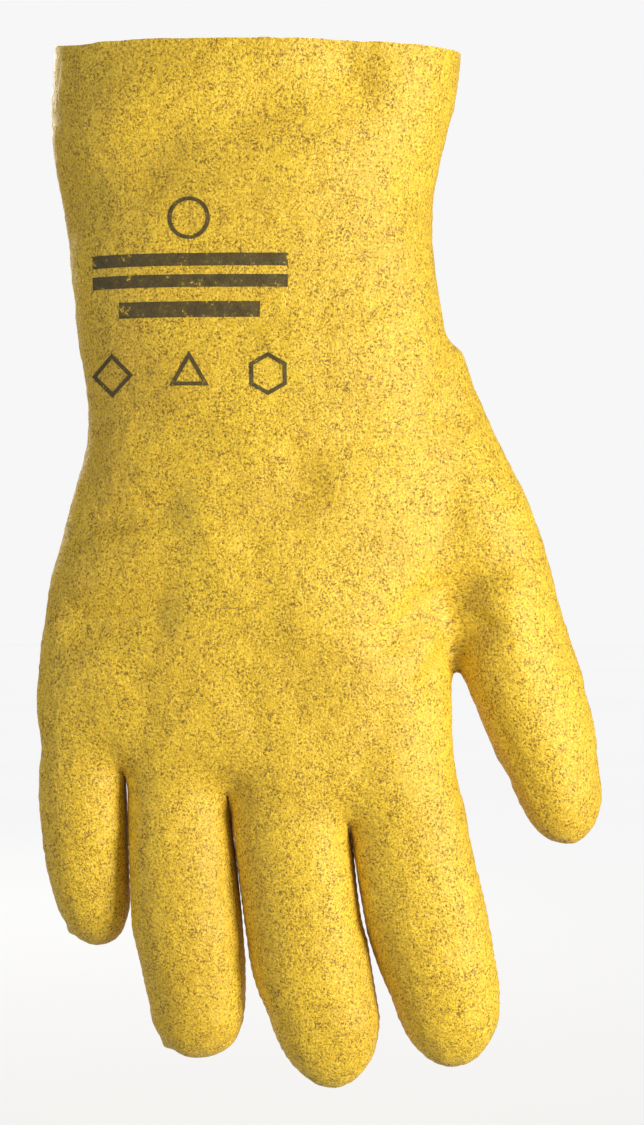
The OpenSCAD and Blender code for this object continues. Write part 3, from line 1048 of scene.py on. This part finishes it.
def build_seams(inner):
    """Overlocked ridges down the inside of the glove's two edges, where the liner's halves are sewn."""
    tree = surface_tree(inner)
    finish = thread_finish()
    points, quads = [], []
    for way in (-1, 1):
        z = np.arange(LEVEL - 0.4, SEAM_END, -SEAM_STEP)
        hits = [tree.ray_cast(Vector((0, 0.6, h)), Vector((way, 0, 0)))[0] for h in z]
        path = np.array([list(h) for h in hits if h is not None])
        for _ in range(3):
            path[1:-1] = (path[:-2] + path[1:-1] * 2 + path[2:]) / 4
        path[:, 0] -= way * 0.3
        a = 2 * math.pi * np.arange(SEAM_SIDES) / SEAM_SIDES
        phase = path[:, 2] / STITCH * 2 * math.pi
        swell = 1 + 0.22 * np.sin(phase)
        ends = np.minimum(1, np.minimum(np.arange(len(path)), np.arange(len(path))[::-1]) / 3 + 0.05)
        lean = 0.5 * np.sin(phase / 2)
        across = np.sin(a)[None] * SEAM_HALF_W * (swell * ends)[:, None] + lean[:, None]
        inwards = np.cos(a)[None] * SEAM_RISE * (swell * ends)[:, None]
        tube = path[:, None] + np.stack([-way * inwards, across, 0 * across], -1)
        first = sum(len(p) for p in points)
        i, k = np.meshgrid(np.arange(len(path) - 1), np.arange(SEAM_SIDES), indexing="ij")
        now, ahead = i * SEAM_SIDES + k, i * SEAM_SIDES + (k + 1) % SEAM_SIDES
        faces = np.stack([now, ahead, ahead + SEAM_SIDES, now + SEAM_SIDES], -1).reshape(-1, 4)
        quads.append((faces if way > 0 else faces[:, ::-1]) + first)
        points.append(tube.reshape(-1, 3))
    seams = object.__new__(Skin)
    seams.points = seams.rest = np.concatenate(points)
    seams.quads = np.concatenate(quads)
    seams.turn()
    hand_piece("liner_seams", seams, finish, ("cuff_liner_seams", "hand_liner_seams"))


# ---- marking ----

PRINT_W = 56.0  # the width that the marks below are drawn for
INK_STEP = 0.65
INK_RISE = 0.14
INK_SINK = 0.25
STROKE = 1.1
# Bars of print: their middle line's height, their length and their width
BARS = ((12.3, 56.0, 3.6), (6.3, 56.0, 3.6), (-1.75, 40.3, 4.5))
# Outlined signs, as regular polygons: sides, place and size
SIGNS = ((48, 0, 24, 12), (4, -22.4, -20, 12), (3, 0, -20, 12), (6, 22.4, -20, 12))


def resample(path, closed):
    """The same line with points at even steps, corners kept."""
    ends = np.roll(path, -1, 0) if closed else path[1:]
    parts = []
    for a, b in zip(path, ends):
        count = max(1, round(np.linalg.norm(b - a) / INK_STEP))
        parts.append(a + (b - a) * (np.arange(count) / count)[:, None])
    if not closed:
        parts.append(path[-1:])
    return np.concatenate(parts)


def stroke(path, width, closed):
    """A flat band along a line, with its rims lowered: places, how far each stands proud, and faces."""
    path = resample(np.asarray(path, float), closed)
    before = np.roll(path, 1, 0) if closed else np.concatenate([2 * path[:1] - path[1:2], path[:-1]])
    after = np.roll(path, -1, 0) if closed else np.concatenate([path[1:], 2 * path[-1:] - path[-2:-1]])
    legs = (path - before, after - path)
    one, two = (leg / np.linalg.norm(leg, axis=1)[:, None] for leg in legs)
    one, two = one[:, ::-1] * vec(-1, 1), two[:, ::-1] * vec(-1, 1)
    across = (one + two) / (1 + np.sum(one * two, 1))[:, None]
    count = math.ceil(width / INK_STEP) + 1
    rows = np.linspace(-width / 2, width / 2, count)
    rows = np.concatenate([rows[:1], rows, rows[-1:]])
    rise = np.full((len(path), len(rows)), INK_RISE)
    rise[:, [0, -1]] = -INK_SINK
    if not closed:
        path = np.concatenate([path[:1], path, path[-1:]])
        across = np.concatenate([across[:1], across, across[-1:]])
        low = np.full((1, len(rows)), -INK_SINK)
        rise = np.concatenate([low, rise, low])
    flat = path[:, None] + across[:, None] * rows[None, :, None]
    i, k = np.meshgrid(np.arange(len(path) - (not closed)), np.arange(len(rows) - 1), indexing="ij")
    ahead = (i + 1) % len(path)
    n = len(rows)
    faces = np.stack([i * n + k, ahead * n + k, ahead * n + k + 1, i * n + k + 1], -1)
    return flat.reshape(-1, 2), rise.ravel(), faces.reshape(-1, 4)


def build_marking(skin):
    """Generic print on the cuff's back, laid onto the uneven skin."""
    low, high = box_mm("cuff_marking")
    scale = (high[0] - low[0]) / PRINT_W
    centre = vec((low[0] + high[0]) / 2, high[2] - 30 * scale)
    bands = [stroke([(-w / 2, y), (w / 2, y)], t, False) for y, w, t in BARS]
    for sides, x, y, size in SIGNS:
        a = 2 * math.pi * (np.arange(sides) / sides) + math.pi / 2
        r = (size - STROKE) / 2
        bands.append(stroke(np.stack([x + r * np.cos(a), y + r * np.sin(a)], 1), STROKE, True))
    around = skin.centres()
    near = (around[:, 1] < 0) & (around[:, 2] > low[2] - 6) & (around[:, 2] < high[2] + 6)
    tree = surface_tree(skin, near)
    ink = object.__new__(Skin)
    points, normals, quads = [], [], []
    for flat, rise, faces in bands:
        quads.append(faces + len(points))
        for (u, v), height in zip(centre + flat * scale, rise):
            hit, normal, _, _ = tree.ray_cast(Vector((u, -70, v)), Vector((0, 1, 0)))
            points.append(list(hit + normal * height))
            normals.append(list(normal))
    ink.points = ink.rest = np.array(points)
    ink.quads, ink.normals = np.concatenate(quads), np.array(normals)
    a, b, c = (ink.points[ink.quads[:, k]] for k in range(3))
    back = np.cross(b - a, c - a)[:, 1] > 0
    ink.quads[back] = ink.quads[back][:, ::-1]
    hand_piece("marking", ink, ink_finish(), ("cuff_marking",))


# ---- floor, light and camera ----

CAMERA_AT = (0.0197, -0.88, -0.1497)
CAMERA_LENS = 95.1
SENSOR = 36.0
CENTRE = Vector((0.02, 0, -0.15))
PALE = 0.93  # how bright the floor and the world look
DIM = 0.24  # and how much they light the glove


def build_stage():
    """A large pale floor below the fingertips that fades into an equally pale world."""
    bpy.ops.mesh.primitive_circle_add(vertices=96, radius=6, fill_type="NGON")
    floor = bpy.context.object
    floor.name = "floor"
    floor.location = (CENTRE.x, CENTRE.y, CAD_BOX[0][2] - 0.03)
    made, node, shade = material("floor_pale")
    place = node("TexCoord").node.outputs["Object"]
    away = node("VectorMath", {0: place}, operation="LENGTH").node.outputs["Value"]
    seen = node("LightPath").node.outputs["Is Camera Ray"]
    far = step(node, away, 0.25, 1.3, 0.75, 1)
    mottle = step(node, lump_noise(node, place, 0.4, 2), 0.3, 0.7, 0.985, 1)
    glow = math_node(node, "MULTIPLY", far, step(node, seen, 0, 1, DIM, PALE))
    dim = step(node, away, 0.25, 1.3, 0.25, 0)
    shade(Base_Color=node("CombineColor", {0: dim, 1: dim, 2: dim}), Roughness=0.95)
    shade(Specular_IOR_Level=0.0, Emission_Color=(1, 1, 1, 1))
    shade(Emission_Strength=math_node(node, "MULTIPLY", glow, mottle))
    floor.data.materials.append(made)
    world = bpy.data.worlds.new("studio")
    world.use_nodes = True
    tree = world.node_tree
    seen = tree.nodes.new("ShaderNodeLightPath").outputs["Is Camera Ray"]
    strength = tree.nodes.new("ShaderNodeMapRange")
    tree.links.new(seen, strength.inputs["Value"])
    strength.inputs["To Min"].default_value = DIM
    strength.inputs["To Max"].default_value = PALE
    tree.links.new(strength.outputs[0], tree.nodes["Background"].inputs["Strength"])
    tree.nodes["Background"].inputs["Color"].default_value = (1, 1, 1, 1)
    bpy.context.scene.world = world


def add_light(name, place, size, power, colour):
    """A square lamp aimed at the glove."""
    lamp = bpy.data.lights.new(name, "AREA")
    lamp.size, lamp.energy, lamp.color = size, power, colour
    obj = bpy.data.objects.new(name, lamp)
    obj.location = place
    obj.rotation_euler = (CENTRE - obj.location).to_track_quat("-Z", "Y").to_euler()
    obj.visible_camera = False
    bpy.context.scene.collection.objects.link(obj)


WARM = (1, 0.97, 0.9)
# Each lamp's name, place, size, power and colour
LAMPS = (
    ("key", (1.0, -0.72, -0.2), 0.45, 24, WARM),
    ("fill", (-1.2, -0.8, -0.15), 0.8, 7, (1, 1, 1)),
    ("behind", (-0.5, 1.2, 0.5), 0.7, 17, WARM),
)


def build_studio():
    build_stage()
    for lamp in LAMPS:
        add_light(*lamp)
    camera = bpy.data.cameras.new("camera")
    camera.sensor_width, camera.lens = SENSOR, CAMERA_LENS
    obj = bpy.data.objects.new("camera", camera)
    obj.location = CAMERA_AT
    obj.rotation_euler = (math.pi / 2, 0, 0)
    bpy.context.scene.collection.objects.link(obj)
    bpy.context.scene.camera = obj
    bpy.context.scene.view_settings.view_transform = "Standard"


def build():
    fingers = {name: finger_field(name) for name in FINGERS}
    hand = hand_field(fingers)
    build_marking(build_coating(fingers, hand))
    build_seams(build_liner(fingers, hand))
    build_studio()


build()
